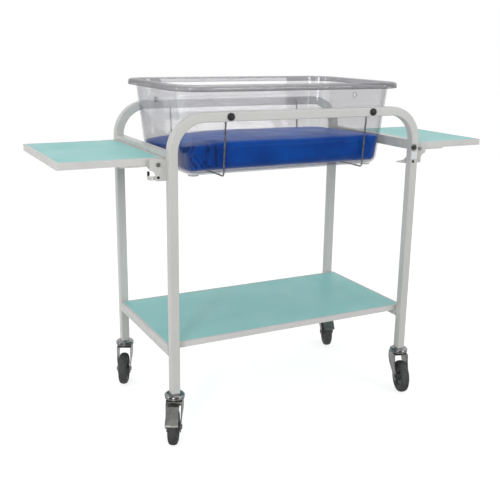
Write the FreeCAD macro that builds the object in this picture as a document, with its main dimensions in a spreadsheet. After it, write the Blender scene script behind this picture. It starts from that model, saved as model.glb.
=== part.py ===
import FreeCAD, Part
import math
import os
import re
import Sketcher

# Hospital crib: a clear tub with a mattress, held by two wire cradles in a
# tubular frame on four swivel casters, with a shelf below and two drop leaves.
# Millimetres. X is the length, Y the depth (front is -Y), Z is up.
# The origin is on the floor, in the middle of everything, wheels included.

# Driving dimensions

SIZES = dict(
    # frame
    mid_y=28.4,          # middle plane of the frame behind the origin
    leg_x=384,           # leg centre from the middle, along the length
    leg_y=216,           # leg centre from the middle plane, across
    tube=25,             # square tube, outside
    tube_corner=3,
    tube_wall=1.5,
    foot_z=136,          # lower end of the legs
    rail_z=883,          # centre of the top rail
    bend=90,             # centreline radius of the bends
    end_rail_z=768,      # underside of the upper end rail
    end_rail_tall=28,
    low_rail_tall=16,
    # lower shelf
    shelf_top=272,
    shelf_long=797,
    shelf_wide=396,
    shelf_thick=16,
    board_corner=5,
    edge_out=2,          # edging outside the board
    edge_lip=7,          # edging lapped over the faces
    edge_skin=1,         # thickness of the lap
    snug=0.02,           # a screw or stem in its hole
    over=1,              # how far a cutting tool passes through a face
    screw_r=2,
    screw_long=12,
    screw_head_r=4.2,
    screw_head=2.6,
    screw_y=120,         # shelf screws from the middle plane
    # drop leaves
    leaf_in=398.5,
    leaf_out=672,
    leaf_wide=388,
    leaf_top=783,
    leaf_thick=18,
    hinge_x=418,
    hinge_z=767,
    # hinge brackets
    plate_y=204,         # inner face of the bracket plate, from the middle plane
    plate_thick=4,
    plate_reach=23,      # from the hinge pin outwards
    plate_top=15,
    plate_step=14,       # step below the hinge pin
    neck_reach=7,        # neck outside the hinge pin
    plate_drop=42.5,
    plate_round=4,
    pin_r=4,
    pin_play=0.06,
    pin_head_out=1.6,    # pin head beyond the pin's radius
    pin_head_tall=3,
    pin_tail_out=2.5,    # riveted tail beyond the pin's radius
    pin_tail_tall=2.15,
    arm_y=199.6,         # outer face of the arm's upright flange
    arm_thick=3,
    arm_back=13,         # arm's head inside the pin
    arm_up=11,           # and above it
    arm_step=8,
    arm_tongue=20,       # tongue with the stud, below the pin
    arm_tongue_half=9,
    arm_round=4,
    arm_relief=0.4,      # notch in the foot round the pin's tail
    arm_foot_long=112,
    arm_foot_wide=36,
    arm_foot_in=15,      # foot inside the pin
    foot_screw_in=5,     # foot screws outside the pin
    foot_screw_mid=46,
    foot_screw_out=82,
    stud_drop=16,        # stud below the pin
    stud_r=3,
    # catches and release levers
    stud_gap=1.2,        # between a stud and the finger or nose under it
    catch_y=203.2,       # outer face of the catch and lever blanks
    catch_thick=3,
    catch_drop=33,       # catch pivot below the hinge pin
    catch_pin_r=2.5,
    finger_half=4,
    strap_up=3,          # strap above and below its pivot
    strap_low=7,
    hook_in=22,          # hook outside the pivot
    hook_out=28,
    hook_up=6,
    strap_back=6,
    strap_hole_x=13.5,
    strap_hole_r=1.8,
    tip_thick=6,
    tip_tall=11,
    tip_proud=2.4,       # tip outside the bracket's inner face
    tip_round=1.6,
    rivet_out=1.2,       # rivet heads beyond the shank
    rivet_gap=0.15,
    lever_x=379,         # pivot of the release lever, on the leg
    lever_z=733,
    lever_pin_r=3,
    tab_reach=338,       # tip of the lever's thumb tab
    tab_drop=2,          # tab's middle below the pivot
    tab_tall=2.8,
    lever_half=12,       # half length of the lever's boss
    lever_shoulder=7,
    lever_up=10,
    lever_low=8,
    nose_half=5,
    nose_tall=6,
    bolt_x=378,          # bolt of the end rail, through the leg
    bolt_z=775,
    bolt_r=4,
    bolt_head_out=2.5,
    bolt_head_tall=3.6,
    bolt_end=6,          # bolt past the leg's inner face
    washer_r=10.5,
    washer_thick=1.6,
    cover_wide=22,
    cover_tall=23,
    cover_proud=4,
    cover_z=740,
    cover_off=2,         # cover's middle outside the bolt
    cover_round=1.5,
    # wire cradles and knobs
    wire_x=224,
    wire_r=2.5,
    wire_top_y=198.4,
    wire_low_y=185,
    wire_low_z=721,
    wire_bend=5.4,
    wire_turn=9,
    knob_r=10.5,
    knob_tall=7,
    knob_bore=5,
    wire_gap=0.4,        # wire's end short of the knob's bore
    # tub
    tub_x=-12.7,         # the tub sits a little to the left
    tub_floor_z=723.8,
    tub_wall=4,
    tub_floor_long=623.5,
    tub_floor_wide=356,
    tub_floor_corner=46,
    tub_mouth_long=673.5,
    tub_mouth_wide=400,
    tub_mouth_corner=60,
    tub_heel=26,         # radius between wall and floor
    rim_z=963,
    rim_thick=4,
    rim_out=28,          # flange beyond the side walls
    rim_end_out=19,      # flange beyond the end walls
    rim_lip=16,          # depth of the turned-down lip
    rim_lip_thick=3,
    rim_roll=9,          # outer radius of the rolled edge
    hole_z=914,
    hole_r=7,
    foot_x=280,          # moulded feet from the tub's middle
    foot_y=140,
    foot_r=15,
    foot_tall=3.6,
    # mattress
    pad_gap=0.6,
    pad_tall=80,
    pad_long=608,
    pad_wide=340,
    pad_corner=42,
    pad_round=18,
    # casters
    wheel_r=50,
    wheel_wide=27,
    hub_r=36,
    hub_wide=34,
    hub_web=10,
    hub_boss=5,          # boss outside the sleeve
    hub_rim=7,           # rim under the tyre
    tyre_seat=3,         # rim's edge inside the wheel's side
    tyre_round=3.4,
    trail=35,
    axle_r=4,
    sleeve_r=6,
    sleeve_play=0.06,
    race_r=28.5,
    race_z=127,
    race_gap=0.4,        # between the upper and lower race
    race_lip=3,
    race_crown=9,        # dome's flat top inside its edge
    fork_top=119,
    fork_sheet=2.5,
    fork_half=22.5,      # outside of the fork legs, upper part
    fork_waist=20,       # outside of the fork legs at the axle
    fork_step=80,        # height where the legs begin to draw in
    fork_waist_z=62,
    fork_low=36,
    fork_eye=14,         # half width of the legs at the axle
    nut_r=6.5,
    nut_tall=3.5,
    king_r=6,
    king_head=9.5,
    king_low=16,         # underside of its head below the race
    king_head_tall=4.6,
    stem_r=5,
    stem_short=4,        # stem's end below the insert's
    plug_tall=34,
    pedal_half=15,       # half width at the pin
    pedal_toe=18,        # half width at the toe
    pedal_thick=3.6,
    pedal_flat=28,       # tread from the pin
    pedal_ridge=33,
    pedal_reach=73,
    pedal_drop=31,
    pedal_pin_x=20,
    pedal_pin_z=109,
    pedal_pin_r=2.9,
    # swivel angle of each caster about its stem, from +X
    swivel_fl=242,
    swivel_fr=252,
    swivel_rl=244,
    swivel_rr=248,
)

doc = FreeCAD.newDocument("crib")
sheet = doc.addObject("Spreadsheet::Sheet", "Sizes")
for row, (name, value) in enumerate(SIZES.items(), start=1):
    sheet.set("A%d" % row, name)
    sheet.set("B%d" % row, str(value))
    sheet.setAlias("B%d" % row, name)
doc.recompute()

V = FreeCAD.Vector
XY, XZ, YZ = "XY_Plane", "XZ_Plane", "YZ_Plane"
sub_parts = []


def full(text):
    """The expression with each driving dimension read from the sheet."""
    def read(word):
        return "Sizes." + word.group() if word.group() in SIZES else word.group()
    return re.sub(r"[a-z_]+", read, str(text))


def value(text):
    return float(sheet.evalExpression(full(text)))


def bind(thing, **sizes):
    for key, text in sizes.items():
        thing.setExpression(key.replace("__", "."), full(text))
    return thing


def name_part(thing, label):
    thing.Label = label
    sub_parts.append(thing)
    return thing


def at(thing, x=0, y=0, z=0):
    return bind(thing, Placement__Base__x=x, Placement__Base__y=y, Placement__Base__z=z)


# Solids from primitives

TURNS = {"y": FreeCAD.Rotation(V(1, 0, 0), -90), "z": FreeCAD.Rotation()}


def box(name, size, low):
    thing = doc.addObject("Part::Box", name)
    bind(thing, Length=size[0], Width=size[1], Height=size[2])
    return at(thing, *low)


def cylinder(name, radius, length, base, along="z"):
    thing = doc.addObject("Part::Cylinder", name)
    thing.Placement.Rotation = TURNS[along]
    bind(thing, Radius=radius, Height=length)
    return at(thing, *base)


def fuse(name, things):
    thing = doc.addObject("Part::MultiFuse", name)
    thing.Shapes = things
    thing.Refine = True
    return thing


def cut(name, base, tools):
    thing = doc.addObject("Part::Cut", name)
    thing.Base = base
    thing.Tool = tools[0] if len(tools) == 1 else fuse(name + "_tools", tools)
    thing.Refine = True
    return thing


def common(name, one, other):
    thing = doc.addObject("Part::Common", name)
    thing.Base = one
    thing.Tool = other
    return thing


def group(name, things):
    thing = doc.addObject("Part::Compound", name)
    thing.Links = things
    return name_part(thing, name)


# Sketched solids

def body(name):
    return doc.addObject("PartDesign::Body", name)


def sketch(owner, name, role, offset=0):
    thing = owner.newObject("Sketcher::SketchObject", name)
    base = [o for o in owner.Origin.OriginFeatures if o.Role == role][0]
    thing.AttachmentSupport = [(base, "")]
    thing.MapMode = "FlatFace"
    return bind(thing, AttachmentOffset__Base__z=offset)


def hold(sk, constraint, text):
    """Adds a constraint whose size is bound to the sheet."""
    index = sk.addConstraint(constraint)
    sk.setExpression("Constraints[%d]" % index, full(text))


def outline(sk, points):
    """A closed outline of straight runs; each corner's place is bound to the sheet."""
    first = sk.GeometryCount
    flat = [(value(x), value(y)) for x, y in points]
    count = len(flat)
    for i in range(count):
        (x, y), (u, v) = flat[i], flat[(i + 1) % count]
        sk.addGeometry(Part.LineSegment(V(x, y, 0), V(u, v, 0)))
    for i in range(count):
        sk.addConstraint(Sketcher.Constraint("Coincident", first + i, 2, first + (i + 1) % count, 1))
    for i, (x, y) in enumerate(points):
        for kind, text, size in (("DistanceX", x, flat[i][0]), ("DistanceY", y, flat[i][1])):
            hold(sk, Sketcher.Constraint(kind, -1, 1, first + i, 1, size), text)


def round_box(sk, long, wide, corner):
    """A rectangle with round corners about the sketch's origin."""
    a, b, r = value(long) / 2, value(wide) / 2, value(corner)
    first = sk.GeometryCount
    corners = [(a - r, r - b, 3), (a - r, b - r, 0), (r - a, b - r, 1), (r - a, r - b, 2)]
    ends = [((r - a, -b), (a - r, -b)), ((a, r - b), (a, b - r)),
            ((a - r, b), (r - a, b)), ((-a, b - r), (-a, r - b))]
    for ((x, y), (u, v)), (cx, cy, quarter) in zip(ends, corners):
        sk.addGeometry(Part.LineSegment(V(x, y, 0), V(u, v, 0)))
        start = (quarter - 4 if quarter == 3 else quarter) * math.pi / 2
        whole = Part.Circle(V(cx, cy, 0), V(0, 0, 1), r)
        sk.addGeometry(Part.ArcOfCircle(whole, start, start + math.pi / 2))
    make = Sketcher.Constraint
    for i in range(8):
        sk.addConstraint(make("Tangent", first + i, 2, first + (i + 1) % 8, 1))
    for i in (0, 4):
        sk.addConstraint(make("Horizontal", first + i))
        sk.addConstraint(make("Vertical", first + i + 2))
    for i in (3, 5, 7):
        sk.addConstraint(make("Equal", first + 1, first + i))
    sk.addConstraint(make("Symmetric", first, 1, first + 4, 1, -1, 1))
    hold(sk, make("Distance", first, 2 * (a - r)), "(%s) - 2 * (%s)" % (long, corner))
    hold(sk, make("Distance", first + 2, 2 * (b - r)), "(%s) - 2 * (%s)" % (wide, corner))
    hold(sk, make("Radius", first + 1, r), corner)


def circle(sk, x, y, radius):
    index = sk.addGeometry(Part.Circle(V(value(x), value(y), 0), V(0, 0, 1), value(radius)))
    hold(sk, Sketcher.Constraint("DistanceX", -1, 1, index, 3, value(x)), x)
    hold(sk, Sketcher.Constraint("DistanceY", -1, 1, index, 3, value(y)), y)
    hold(sk, Sketcher.Constraint("Radius", index, value(radius)), radius)


def pad(owner, sk, length, midplane=False, back=False):
    thing = owner.newObject("PartDesign::Pad", sk.Name + "_pad")
    thing.Profile = sk
    thing.Midplane = midplane
    thing.Reversed = back
    return bind(thing, Length=length)


def through(owner, sk):
    """A pocket through everything, both ways from the sketch."""
    thing = owner.newObject("PartDesign::Pocket", sk.Name + "_pocket")
    thing.Profile = sk
    thing.Type = 1
    thing.Midplane = True
    return thing


def turned(name, points):
    """A solid of revolution about Z from (radius, height) points."""
    owner = body(name)
    sk = sketch(owner, name + "_section", XZ)
    outline(sk, points)
    thing = owner.newObject("PartDesign::Revolution", name + "_turn")
    thing.Profile = sk
    thing.ReferenceAxis = (sk, ["V_Axis"])
    thing.Angle = 360
    return owner


def soften(owner, name, base, edges, radius):
    assert edges, name + ": no edge to round"
    thing = owner.newObject("PartDesign::Fillet", name)
    thing.Base = (base, edges)
    return bind(thing, Radius=radius)


def blank(name, points, thick, midplane=False, role=XZ, rounds=None):
    """A flat piece of an outline, with some upright edges rounded.

    rounds lists (corner number, radius) by the outline's points.
    """
    owner = body(name)
    sk = sketch(owner, name + "_outline", role)
    outline(sk, points)
    solid = pad(owner, sk, thick, midplane)
    for number, radius in rounds or []:
        doc.recompute()
        x, y = (value(t) for t in points[number])
        edges = []
        for i, edge in enumerate(owner.Shape.Edges, start=1):
            ends = [sk.Placement.inverse().multVec(v.Point) for v in edge.Vertexes]
            if len(ends) == 2 and all(math.hypot(p.x - x, p.y - y) < 1e-4 for p in ends):
                edges.append("Edge%d" % i)
        solid = soften(owner, name + "_round%d" % number, solid, edges, radius)
    return owner


def drilled(owner, name, role, holes):
    """Round holes (x, y, radius) through the body."""
    doc.recompute()
    before = owner.Shape.Volume
    sk = sketch(owner, name + "_holes", role)
    for hole in holes:
        circle(sk, *hole)
    through(owner, sk)
    doc.recompute()
    assert owner.Shape.Volume < before, name + ": the holes cut nothing"
    return owner


def swept(name, spine_role, points, bends, section):
    """A tube along straight runs joined by tangent arcs.

    points are the corners of the route, bends the radius at each inner corner,
    and section(sketch) draws the profile about the origin of a sketch that lies
    across the route's start.
    """
    owner = body(name)
    spine = sketch(owner, name + "_route", spine_role)
    flat = [V(value(x), value(y), 0) for x, y in points]
    radii = [value(b) for b in bends]
    cuts = []
    for i, radius in enumerate(radii, start=1):
        back, ahead = (flat[i - 1] - flat[i]).normalize(), (flat[i + 1] - flat[i]).normalize()
        half = back.getAngle(ahead) / 2
        reach = radius / math.tan(half)
        middle = (back + ahead).normalize() * (radius / math.sin(half))
        cuts.append((flat[i] + back * reach, flat[i] + ahead * reach, flat[i] + middle, radius))
    start = flat[0]
    for a, b, centre, radius in cuts:
        spine.addGeometry(Part.LineSegment(start, a))
        turn = (a - centre).cross(b - centre).z
        one, two = (a, b) if turn > 0 else (b, a)
        angles = [math.atan2(p.y - centre.y, p.x - centre.x) for p in (one, two)]
        spine.addGeometry(Part.ArcOfCircle(Part.Circle(centre, V(0, 0, 1), radius), *angles))
        start = b
    spine.addGeometry(Part.LineSegment(start, flat[-1]))
    make = Sketcher.Constraint
    for i, (a, b, centre, radius) in enumerate(cuts):
        turn = (a - centre).cross(b - centre).z
        first, last = (1, 2) if turn > 0 else (2, 1)
        spine.addConstraint(make("Tangent", 2 * i, 2, 2 * i + 1, first))
        spine.addConstraint(make("Tangent", 2 * i + 1, last, 2 * i + 2, 1))
        hold(spine, make("Radius", 2 * i + 1, radius), bends[i])
    # each run lies on the line through its two corners
    last_line = 2 * len(cuts)
    hold(spine, make("DistanceX", -1, 1, 0, 1, flat[0].x), points[0][0])
    hold(spine, make("DistanceY", -1, 1, 0, 1, flat[0].y), points[0][1])
    hold(spine, make("DistanceX", -1, 1, last_line, 2, flat[-1].x), points[-1][0])
    hold(spine, make("DistanceY", -1, 1, last_line, 2, flat[-1].y), points[-1][1])
    for i, (x, y) in enumerate(points[1:-1]):
        corner = spine.addGeometry(Part.Point(flat[i + 1]))
        hold(spine, make("DistanceX", -1, 1, corner, 1, flat[i + 1].x), x)
        hold(spine, make("DistanceY", -1, 1, corner, 1, flat[i + 1].y), y)
        spine.toggleConstruction(corner)
        spine.addConstraint(make("PointOnObject", corner, 1, 2 * i))
        spine.addConstraint(make("PointOnObject", corner, 1, 2 * i + 2))
    profile = section(owner)
    thing = owner.newObject("PartDesign::AdditivePipe", name + "_pipe")
    thing.Profile = profile
    thing.Spine = spine
    doc.recompute()
    sections = sorted(Part.Face(wire).Area for wire in profile.Shape.Wires)
    area = sections[-1] - sum(sections[:-1])
    volume = area * sum(edge.Length for edge in spine.Shape.Edges)
    assert abs(thing.Shape.Volume / volume - 1) < 0.01, name + ": the pipe isn't full"
    return owner


# Frame: two bent side frames joined by end rails

def side_frame(label, side):
    """An upside-down U of square tube; side is -1 at the front and 1 at the rear."""
    name = label

    def section(owner):
        sk = sketch(owner, name + "_section", XY, "foot_z")
        bind(sk, AttachmentOffset__Base__x="-leg_x")
        round_box(sk, "tube", "tube", "tube_corner")
        round_box(sk, "tube - 2 * tube_wall", "tube - 2 * tube_wall", "tube_corner - tube_wall")
        return sk

    route = [("-leg_x", "foot_z"), ("-leg_x", "rail_z"), ("leg_x", "rail_z"), ("leg_x", "foot_z")]
    owner = swept(name, XZ, route, ["bend", "bend"], section)
    # holes for the cradle wires, and in one leg for the end rail's bolt and the release lever's pivot
    holes = [("-wire_x", "rail_z", "wire_r + pin_play"), ("wire_x", "rail_z", "wire_r + pin_play")]
    holes.append(("%d * bolt_x" % -side, "bolt_z", "bolt_r + pin_play"))
    holes.append(("%d * lever_x" % -side, "lever_z", "lever_pin_r + pin_play"))
    drilled(owner, name, XZ, holes)
    at(owner, 0, "mid_y + %d * leg_y" % side, 0)
    return name_part(owner, label)


def end_rail(label, side, tall, low):
    """A flat-sided tube between the front and rear legs of one end."""
    outer = box(label + "_tube", ("tube", "2 * leg_y - tube", tall),
                ("%d * leg_x - tube / 2" % side, "mid_y - leg_y + tube / 2", low))
    inner = box(label + "_hollow",
                ("tube - 2 * tube_wall", "2 * leg_y - tube", "%s - 2 * tube_wall" % tall),
                ("%d * leg_x - tube / 2 + tube_wall" % side, "mid_y - leg_y + tube / 2",
                 "%s + tube_wall" % low))
    return cut(label, outer, [inner])


side_frame("side_frame_front", -1)
side_frame("side_frame_rear", 1)
for word, side in (("left", -1), ("right", 1)):
    label = "upper_end_rail_" + word
    name_part(end_rail(label, side, "end_rail_tall", "end_rail_z"), label)


# Boards: a laminate core in a wrap-round edging

def slab(name, long, wide, corner, thick, low):
    owner = body(name)
    sk = sketch(owner, name + "_plan", XY, low)
    round_box(sk, long, wide, corner)
    pad(owner, sk, thick)
    return owner


def edged_board(label, long, wide, thick, top, x, screws):
    """The board with a rebated edge, and the edging flush over it.

    screws are the (x, y) of the holes in the board's underside.
    """
    low = "%s - %s" % (top, thick)
    inner_long, inner_wide = "%s - 2 * edge_out" % long, "%s - 2 * edge_out" % wide
    tongue = slab(label + "_tongue", inner_long, inner_wide, "board_corner - edge_out",
                  "%s - 2 * edge_skin" % thick, low + " + edge_skin")
    face = slab(label + "_face", "%s - 2 * edge_lip" % long, "%s - 2 * edge_lip" % wide,
                "board_corner", thick, low)
    block = slab(label + "_block", long, wide, "board_corner", thick, low)
    for thing in (tongue, face, block):
        at(thing, x, "mid_y", 0)
    core = fuse(label + "_core", [tongue, face])
    drills = [cylinder("%s_drill%d" % (label, i), "screw_r + snug", "screw_long + over",
                       (sx, sy, low + " - over")) for i, (sx, sy) in enumerate(screws)]
    name_part(cut(label + "_board", core, drills), label + "_board")
    name_part(cut(label + "_edging", block, [core]), label + "_edging")


def screw(name, x, y, z, top):
    """A pan-head screw driven upwards; its head bears on height z, the board starts at height top."""
    head = cylinder(name + "_head", "screw_head_r", "screw_head", (x, y, z + " - screw_head"))
    shank = cylinder(name + "_shank", "screw_r", "screw_long + (%s) - (%s)" % (top, z), (x, y, z))
    return fuse(name, [head, shank])


# Lower shelf on its two end rails

SHELF_LOW = "shelf_top - shelf_thick"
RAIL_LOW = SHELF_LOW + " - low_rail_tall"
shelf_screws = [("%d * leg_x" % sx, "mid_y + %d * screw_y" % sy) for sx in (-1, 1) for sy in (-1, 1)]
edged_board("shelf", "shelf_long", "shelf_wide", "shelf_thick", "shelf_top", 0, shelf_screws)
group("shelf_screws", [screw("shelf_screw%d" % i, x, y, RAIL_LOW, SHELF_LOW)
                       for i, (x, y) in enumerate(shelf_screws)])
for word, side in (("left", -1), ("right", 1)):
    label = "lower_end_rail_" + word
    blank_rail = end_rail(label + "_blank", side, "low_rail_tall", RAIL_LOW)
    places = [("%d * leg_x" % side, "mid_y + %d * screw_y" % sy, RAIL_LOW + " - over") for sy in (-1, 1)]
    drills = [cylinder("%s_drill%d" % (label, i), "screw_r + snug", "low_rail_tall + 2 * over", place)
              for i, place in enumerate(places)]
    name_part(cut(label, blank_rail, drills), label)


# Drop leaves. Each hangs on a pin at its front and rear, in the gap between the leaf and the leg.
# Places near a hinge are (out, up) from its pin: out is away from the crib's middle.

def near_hinge(side, out, up):
    return "%d * (hinge_x + (%s))" % (side, out), "hinge_z + (%s)" % up


def lay(thing, end, inner, outer):
    """Puts a blank between two distances from the middle plane, at the front (end -1) or rear (end 1)."""
    return at(thing, 0, "mid_y - (%s)" % inner if end < 0 else "mid_y + (%s)" % outer, 0)


def across(name, end, radius, inner, outer, x, z):
    """A cylinder along Y between two distances from the middle plane."""
    low = "mid_y - (%s)" % outer if end < 0 else "mid_y + (%s)" % inner
    return cylinder(name, radius, "(%s) - (%s)" % (outer, inner), (x, low, z), "y")


LEG_FACE = "leg_x + tube / 2 - hinge_x"
PLATE_OUT = "plate_y + plate_thick"
ARM_IN = "arm_y - arm_thick"
CATCH_IN = "catch_y - catch_thick"
RAIL_FACE = "leg_y + tube / 2"


def bracket(label, side, end):
    """The plate welded to the leg: a wide head at the pin, a hollowed step and a narrower neck."""
    corners = [(LEG_FACE, "plate_top"), ("plate_reach", "plate_top"), ("plate_reach", "-plate_step"),
               ("neck_reach", "-plate_step"), ("neck_reach", "-plate_drop"), (LEG_FACE, "-plate_drop")]
    points = [near_hinge(side, out, up) for out, up in corners]
    hollow = "plate_reach - neck_reach - 0.5"
    owner = blank(label, points, "plate_thick",
                  rounds=[(1, "plate_round"), (3, hollow), (4, "plate_round")])
    holes = [near_hinge(side, 0, 0) + ("pin_r + pin_play",)]
    if side == end:
        holes.append(near_hinge(side, 0, "-catch_drop") + ("catch_pin_r + pin_play",))
    drilled(owner, label, XZ, holes)
    lay(owner, end, "plate_y", PLATE_OUT)
    return name_part(owner, label)


def leaf_arm(label, side, end):
    """The angle on the leaf: an upright head about the pin with a stud below it, and a foot."""
    corners = [("-arm_back", "arm_up"), ("plate_reach + 3", "arm_up"), ("plate_reach + 3", "-arm_step"),
               ("arm_tongue_half", "-arm_tongue"), ("-arm_tongue_half", "-arm_tongue"),
               ("-arm_back", "-arm_back")]
    points = [near_hinge(side, out, up) for out, up in corners]
    rounds = [(0, "arm_round"), (1, "arm_round"), (2, "arm_round + 2"),
              (3, "2 * arm_round"), (4, "2 * arm_round")]
    head = blank(label + "_head", points, "arm_thick", rounds=rounds)
    lay(head, end, ARM_IN, "arm_y")
    foot_low = "leaf_top - leaf_thick - arm_thick"
    x_in, x_out = "hinge_x - arm_foot_in", "hinge_x - arm_foot_in + arm_foot_long"
    foot = box(label + "_foot", ("arm_foot_long", "arm_foot_wide", "arm_thick"),
               (x_in if side > 0 else "-(%s)" % x_out,
                "mid_y - arm_y" if end < 0 else "mid_y + arm_y - arm_foot_wide", foot_low))
    x, z = near_hinge(side, 0, "-stud_drop")
    stud = across(label + "_stud", end, "stud_r", "arm_y - over", "catch_y", x, z)
    x, z = near_hinge(side, 0, 0)
    bore = across(label + "_bore", end, "pin_r + pin_play", ARM_IN + " - over", "arm_y + over", x, z)
    relief = across(label + "_relief", end, "pin_r + pin_tail_out + arm_relief",
                    ARM_IN + " - pin_tail_tall - arm_relief", ARM_IN, x, z)
    drills = [bore, relief]
    for i, place in enumerate(foot_screws(side, end)):
        drills.append(cylinder("%s_drill%d" % (label, i), "screw_r + snug", "arm_thick + 2 * over",
                               place + (foot_low + " - over",)))
    return name_part(cut(label, fuse(label + "_blank", [head, foot, stud]), drills), label)


def foot_screws(side, end):
    return [("%d * (hinge_x + %s)" % (side, out), "mid_y + %d * (arm_y - arm_foot_wide / 2)" % end)
            for out in ("foot_screw_in", "foot_screw_mid", "foot_screw_out")]


for word, side in (("left", -1), ("right", 1)):
    screws = [place for end in (-1, 1) for place in foot_screws(side, end)]
    edged_board("leaf_" + word, "leaf_out - leaf_in", "leaf_wide", "leaf_thick", "leaf_top",
                "%d * (leaf_out + leaf_in) / 2" % side, screws)
    foot_low = "leaf_top - leaf_thick - arm_thick"
    group("leaf_screws_" + word,
          [screw("leaf_screw_%s%d" % (word, i), x, y, foot_low, "leaf_top - leaf_thick")
           for i, (x, y) in enumerate(screws)])

corner_names = {(-1, -1): "front_left", (1, -1): "front_right",
                (-1, 1): "rear_left", (1, 1): "rear_right"}
pins, spacers = [], []
for (side, end), corner in corner_names.items():
    bracket("leaf_bracket_" + corner, side, end)
    leaf_arm("leaf_arm_" + corner, side, end)
    x, z = near_hinge(side, 0, 0)
    shank = across("pin_shank_" + corner, end, "pin_r", ARM_IN + " - over", PLATE_OUT + " + over", x, z)
    outer_head = across("pin_head_" + corner, end, "pin_r + pin_head_out",
                        PLATE_OUT, PLATE_OUT + " + pin_head_tall", x, z)
    inner_head = across("pin_tail_" + corner, end, "pin_r + pin_tail_out",
                        ARM_IN + " - pin_tail_tall", ARM_IN + " - pin_play", x, z)
    pins.append(fuse("hinge_pin_" + corner, [shank, outer_head, inner_head]))
    ring = across("spacer_ring_" + corner, end, "pin_r + pin_tail_out",
                  "arm_y + pin_play", "plate_y", x, z)
    hollow = across("spacer_bore_" + corner, end, "pin_r + pin_play",
                    "arm_y - over", "plate_y + over", x, z)
    spacers.append(cut("hinge_spacer_" + corner, ring, [hollow]))
group("hinge_pins", pins)
group("hinge_spacers", spacers)


# Sprung catch: a hooked strap that pivots on the bracket's neck and ends in a thumb tip.
# Its finger stands just under the arm's stud.

def spring_catch(corner, side, end):
    label = "spring_catch_" + corner
    pivot = "-catch_drop"
    finger = "-stud_drop - stud_r - stud_gap"
    corners = [("-finger_half", finger), ("finger_half", finger),
               ("finger_half + 1", pivot + " + strap_up"),
               ("hook_in - 2", pivot + " + strap_up"), ("hook_in", pivot + " + hook_up"),
               ("hook_out", pivot + " + hook_up"), ("hook_out", pivot + " - strap_low"),
               ("-strap_back", pivot + " - strap_low"), ("-strap_back", pivot + " + finger_half")]
    points = [near_hinge(side, out, up) for out, up in corners]
    owner = blank(label, points, "catch_thick",
                  rounds=[(6, "strap_low"), (7, "finger_half"), (3, "strap_up / 2")])
    holes = [near_hinge(side, 0, pivot) + ("catch_pin_r + pin_play",),
             near_hinge(side, "strap_hole_x", pivot + " - strap_low / 2") + ("strap_hole_r",)]
    drilled(owner, label, XZ, holes)
    lay(owner, end, CATCH_IN, "catch_y")
    name_part(owner, label)
    x_low, z_low = near_hinge(side, "hook_in" if side > 0 else "hook_out", pivot + " + hook_up")
    y_low = "mid_y - plate_y - tip_proud" if end < 0 else "mid_y + plate_y + tip_proud - tip_thick"
    tip = box("catch_tip_blank_" + corner, ("hook_out - hook_in", "tip_thick", "tip_tall"),
              (x_low, y_low, z_low))
    rounded = doc.addObject("Part::Fillet", "catch_tip_" + corner)
    rounded.Base = tip
    doc.recompute()
    radius = value("tip_round")
    rounded.Edges = [(i, radius, radius) for i in range(1, len(tip.Shape.Edges) + 1)]
    name_part(rounded, "catch_tip_" + corner)
    x, z = near_hinge(side, 0, pivot)
    shank = across("catch_rivet_shank_" + corner, end, "catch_pin_r",
                   CATCH_IN + " - 2 * rivet_gap", PLATE_OUT, x, z)
    head = across("catch_rivet_head_" + corner, end, "catch_pin_r + rivet_out",
                  PLATE_OUT, PLATE_OUT + " + rivet_out", x, z)
    flare = across("catch_rivet_flare_" + corner, end, "catch_pin_r + rivet_out",
                   "arm_y + rivet_gap", CATCH_IN + " - pin_play", x, z)
    return fuse("catch_rivet_" + corner, [shank, head, flare])


# Release lever: a rocker on the leg's inner face, with a thumb tab inboard and a nose under the arm's stud

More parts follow.
